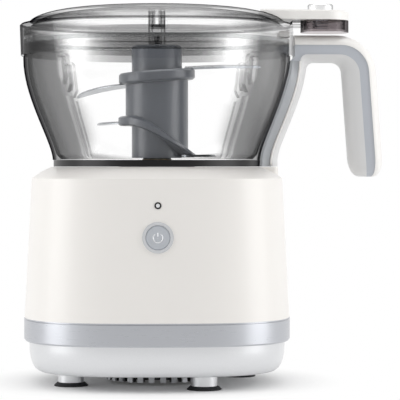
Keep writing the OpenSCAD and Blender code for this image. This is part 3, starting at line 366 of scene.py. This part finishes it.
# milky, with painted grey shade at its rims
pale_button = clear_moulded("clouded_pp_lid_button", "#33363A", [(0.4, 0.9, 0.5)], haze=0.25, sheen=0.3)
# a faint pale ring inside the lid
silicone = frosted("translucent_silicone_gasket", "#F2F3F3", "#E4E5E5", 0.25, 0.5)
# a white dot, lit from behind when the machine is on
light_guide = frosted("frosted_acrylic_light_guide", "#F4F5F6", "#F6F7F8", 0.9, 0.25)

for finish, names in (
        (white_abs, "housing"),
        (warm_white, "handle_outer lid_catch arm_cover"),
        (blue_grey, "handle_middle"),
        (saddle_grey, "handle_saddle"),
        (soft_grey, "handle_inner"),
        (hub_plastic, "blade_hub blade_sleeve"),
        (black_plastic, "motor_end_bell cord_inlet cooling_fan drive_dog driven_dog"),
        (satin_black, "led_ring bowl_ring"),
        (black_rubber, "foot_1 foot_2 foot_3 foot_4 spindle_seal"),
        (well_plastic, "drive_well"),
        (board_resin, "control_board"),
        (band_metal, "trim_band"),
        (tray_lacquer, "tray"),
        (button_lacquer, "power_button"),
        (bezel_lacquer, "button_bezel"),
        (blade_steel, "blade_1 blade_2 blade_3 blade_4"),
        (turned_steel, "motor_shaft blade_spindle"),
        (zinc_steel, "motor_mount motor_can"),
        (spring_steel, "button_spring"),
        (sintered, "motor_bearing bowl_bush"),
        (windings, "armature"),
        (vent_finish, "vent_ring"),
        (clear_bowl, "bowl"),
        (clear_lid, "lid"),
        (smoked, "arm_body"),
        (pale_button, "lid_button"),
        (silicone, "lid_gasket"),
        (light_guide, "light_pipe")):
    for name in names.split():
        for slot in frame["nodes"][name].material_slots:
            slot.material = finish


# ---- smoothed skins ----

skin_weld = 0.002 * mm
skin_flat = math.radians(0.4)
skin_crease = math.radians(28)


def skin_of(name):
    """A smooth-shaded skin for a moulding whose wall is made of many flats. Its own sharp edges stay."""
    source = frame["nodes"][name]
    mesh = source.data.copy()
    piece = placed(name + "_skin", mesh)
    work = bmesh.new()
    work.from_mesh(mesh)
    bmesh.ops.remove_doubles(work, verts=work.verts, dist=skin_weld)
    bmesh.ops.dissolve_limit(work, angle_limit=skin_flat, verts=work.verts, edges=work.edges)
    for face in work.faces:
        face.smooth = True
    for edge in work.edges:
        edge.smooth = len(edge.link_faces) == 2 and edge.calc_face_angle(0) < skin_crease
    work.to_mesh(mesh)
    work.free()
    if mesh.has_custom_normals:
        with bpy.context.temp_override(object=piece, active_object=piece, selected_editable_objects=[piece]):
            bpy.ops.mesh.customdata_custom_splitnormals_clear()
    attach(piece, source["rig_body"])
    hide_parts(name)


for name in ("bowl", "lid", "housing", "trim_band", "tray", "handle_saddle", "handle_inner", "handle_middle",
             "handle_outer", "blade_sleeve", "blade_1", "blade_2", "blade_3", "blade_4", "arm_cover"):
    skin_of(name)


# ---- small pieces ----

def tube(name, points, radius, finish, body, around=10):
    """A round wire or bead along a line of points, with flat ends, as a mesh."""
    work = bmesh.new()
    last = len(points) - 1
    rings = []
    side = None
    for i, point in enumerate(points):
        along = (points[min(i + 1, last)] - points[max(i - 1, 0)]).normalized()
        if side is None:
            side = along.orthogonal().normalized()
        side = (side - along * side.dot(along)).normalized()
        up = along.cross(side)
        rings.append([work.verts.new(point + radius * (math.cos(t) * side + math.sin(t) * up))
                      for t in (2 * math.pi * j / around for j in range(around))])
    for a, b in zip(rings, rings[1:]):
        for j in range(around):
            k = (j + 1) % around
            work.faces.new((a[j], a[k], b[k], b[j])).smooth = True
    work.faces.new(list(reversed(rings[0])))
    work.faces.new(rings[-1])
    mesh = bpy.data.meshes.new(name)
    work.to_mesh(mesh)
    work.free()
    mesh.materials.append(finish)
    piece = placed(name, mesh)
    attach(piece, body)
    return piece


def on_front(across, up, out):
    """A point by the leaning front wall: millimetres across and up from the power button, and out of the
    wall."""
    return Vector((axis_x + across * mm,
                   front_y + up * mm * math.sin(wall_tilt) - out * mm * math.cos(wall_tilt),
                   button_z + up * mm * math.cos(wall_tilt) + out * mm * math.sin(wall_tilt)))


# Sign for power on the button: an open ring and a bar, raised from its face
sign_r = 2.9
sign_out = 0.45
sign_wire_r = 0.32 * mm
ring_drop = 0.2
ring_gap = 38
ring_steps = 40
bar_foot = 0.6
bar_length = 2.6
bar_steps = 4
ring_turns = [math.radians(ring_gap + (360 - 2 * ring_gap) * i / ring_steps) for i in range(ring_steps + 1)]
ring = [on_front(sign_r * math.sin(t), sign_r * math.cos(t) - ring_drop, sign_out) for t in ring_turns]
tube("power_sign_ring", ring, sign_wire_r, chrome, "power_button")
bar = [on_front(0, bar_foot + bar_length * i / bar_steps, sign_out) for i in range(bar_steps + 1)]
tube("power_sign_bar", bar, sign_wire_r, chrome, "power_button")

# White bead in the seam between the strap of the handle and its saddle, on both sides: a painted highlight
# that stands in for the bright catch-light along that edge
highlight_bead_r = 0.75 * mm
highlight_bead_y = 12.0 * mm
highlight_bead_foot = 0.8 * mm
saddle = frame["nodes"]["handle_saddle"]
seam = {}
for corner in (saddle.matrix_world @ v.co for v in saddle.data.vertices):
    level = round(corner.z, 4)
    seam[level] = max(seam.get(level, corner.x), corner.x)
for side, word in ((-1, "front"), (1, "back")):
    line = [Vector((x, side * highlight_bead_y, z)) for z, x in sorted(seam.items())]
    line[0].z += highlight_bead_foot
    tube("seam_highlight_bead_" + word, line, highlight_bead_r, warm_white, "bowl")

# Coil spring under the lid button, at rest; it rides with the lid, and nothing here closes it up as the
# button goes down
coil_r = 5.0 * mm
wire_r = 0.42 * mm
coil_turns = 3.5
coil_steps = 84
low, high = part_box("button_spring")
centre = (low + high) / 2
coil = []
for i in range(coil_steps + 1):
    turn = 2 * math.pi * coil_turns * i / coil_steps
    coil.append(Vector((centre.x + coil_r * math.cos(turn), centre.y + coil_r * math.sin(turn),
                        low.z + wire_r + (high.z - low.z - 2 * wire_r) * i / coil_steps)))
spring = tube("coil_spring", coil, wire_r, spring_steel, "lid", around=8)
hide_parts("button_spring")
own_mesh(spring)


# ---- studio ----

def shown(tree):
    """1 on the rays that show the backdrop: straight from the camera, off a gloss or through a clear wall."""
    path = put(tree, "ShaderNodeLightPath").outputs
    direct = put(tree, "ShaderNodeMath", {0: path["Is Camera Ray"], 1: path["Is Glossy Ray"]},
                 operation="MAXIMUM").outputs[0]
    return put(tree, "ShaderNodeMath", {0: direct, 1: path["Is Transmission Ray"]},
               operation="MAXIMUM").outputs[0]


def floor_finish():
    """Pale paper sweep: white all round, and plain paper with the object's soft shadow close to it."""
    material, tree, where = fresh("pale_paper_sweep")
    far = put(tree, "ShaderNodeVectorMath", {0: where}, operation="LENGTH").outputs["Value"]
    lift = put(tree, "ShaderNodeMapRange", {"Value": far, "From Min": paper_r, "From Max": white_r,
                                            "To Min": paper_lift, "To Max": 1.0},
               interpolation_type="SMOOTHSTEP").outputs[0]
    share = put(tree, "ShaderNodeMath", {0: lift, 1: shown(tree)}, operation="MULTIPLY").outputs[0]
    paper = put(tree, "ShaderNodeBsdfDiffuse", {"Color": linear("#F4F4F4")}).outputs[0]
    glow = put(tree, "ShaderNodeEmission", {"Color": white, "Strength": 1.0}).outputs[0]
    mixed = put(tree, "ShaderNodeMixShader", {0: share, 1: paper, 2: glow}).outputs[0]
    put(tree, "ShaderNodeOutputMaterial", {"Surface": mixed})
    return material


white = linear("#FFFFFF")
# Reach of the plain paper round the base's middle, its own lift, where all is white, and the floor's reach
paper_r = 0.06
paper_lift = 0.05
white_r = 0.125
floor_r = 3.0
work = bmesh.new()
bmesh.ops.create_circle(work, cap_ends=True, segments=96, radius=floor_r)
mesh = bpy.data.meshes.new("floor")
work.to_mesh(mesh)
work.free()
mesh.materials.append(floor_finish())
floor = placed("floor", mesh)
floor.location.x = axis_x

# The room's light, and what glosses see of it: white sheets all round and a dimmer end in front. A gloss
# that looks to the front has a y of -1; it sees only the dim end up to the first y, and only white from the
# second
room_light = 0.53
dim_front = 0.5
dim_until = -0.95
white_from = -0.55
world = bpy.data.worlds.new("studio")
bpy.context.scene.world = world
world.use_nodes = True
tree = world.node_tree
tree.nodes.clear()
room = put(tree, "ShaderNodeBackground", {"Color": white, "Strength": room_light}).outputs[0]
aim = put(tree, "ShaderNodeTexCoord").outputs["Generated"]
ahead = put(tree, "ShaderNodeSeparateXYZ", {0: aim}).outputs[1]
sheets = put(tree, "ShaderNodeMapRange", {"Value": ahead, "From Min": dim_until, "From Max": white_from,
                                          "To Min": dim_front, "To Max": 1.0},
             interpolation_type="SMOOTHSTEP").outputs[0]
glossy = put(tree, "ShaderNodeLightPath").outputs["Is Glossy Ray"]
level = put(tree, "ShaderNodeMix", {0: glossy, 2: 1.0, 3: sheets}, data_type="FLOAT").outputs[0]
backdrop = put(tree, "ShaderNodeBackground", {"Color": white, "Strength": level}).outputs[0]
both = put(tree, "ShaderNodeMixShader", {0: shown(tree), 1: room, 2: backdrop}).outputs[0]
put(tree, "ShaderNodeOutputWorld", {"Surface": both})


def soft_box(name, place, width, height, power):
    """A large soft lamp that faces the middle of the object and isn't seen itself."""
    lamp = bpy.data.lights.new(name, "AREA")
    lamp.shape = "RECTANGLE"
    lamp.size = width
    lamp.size_y = height
    lamp.energy = power
    holder = placed(name, lamp)
    holder.location = place
    holder.rotation_euler = (middle - Vector(place)).to_track_quat("-Z", "Y").to_euler()
    holder.visible_camera = False


middle = Vector((axis_x, 0, 0.12))
soft_box("box_left", (axis_x - 0.9, -0.25, 0.3), 0.6, 0.9, 4.0)
soft_box("box_right", (axis_x + 0.9, -0.25, 0.3), 0.6, 0.9, 4.0)
soft_box("box_top", (axis_x, -0.1, 1.25), 1.1, 1.1, 5.0)

# The camera looks past the bowl's axis, a little down, and has swung a little to the left round it
swing = math.radians(-1.6)
look_down = math.radians(0.955)
stand = Vector((0.028, -1.365, 0.1404))
camera = bpy.data.cameras.new("camera")
camera.lens = 189
camera.sensor_width = 36
camera_holder = placed("camera", camera)
camera_holder.location = Vector((axis_x, 0, 0)) + Matrix.Rotation(swing, 4, "Z") @ stand
camera_holder.rotation_euler = (math.radians(90) - look_down, 0, swing)
bpy.context.scene.camera = camera_holder

bpy.context.scene.view_settings.view_transform = "Standard"
bpy.context.scene.cycles.transparent_max_bounces = 32
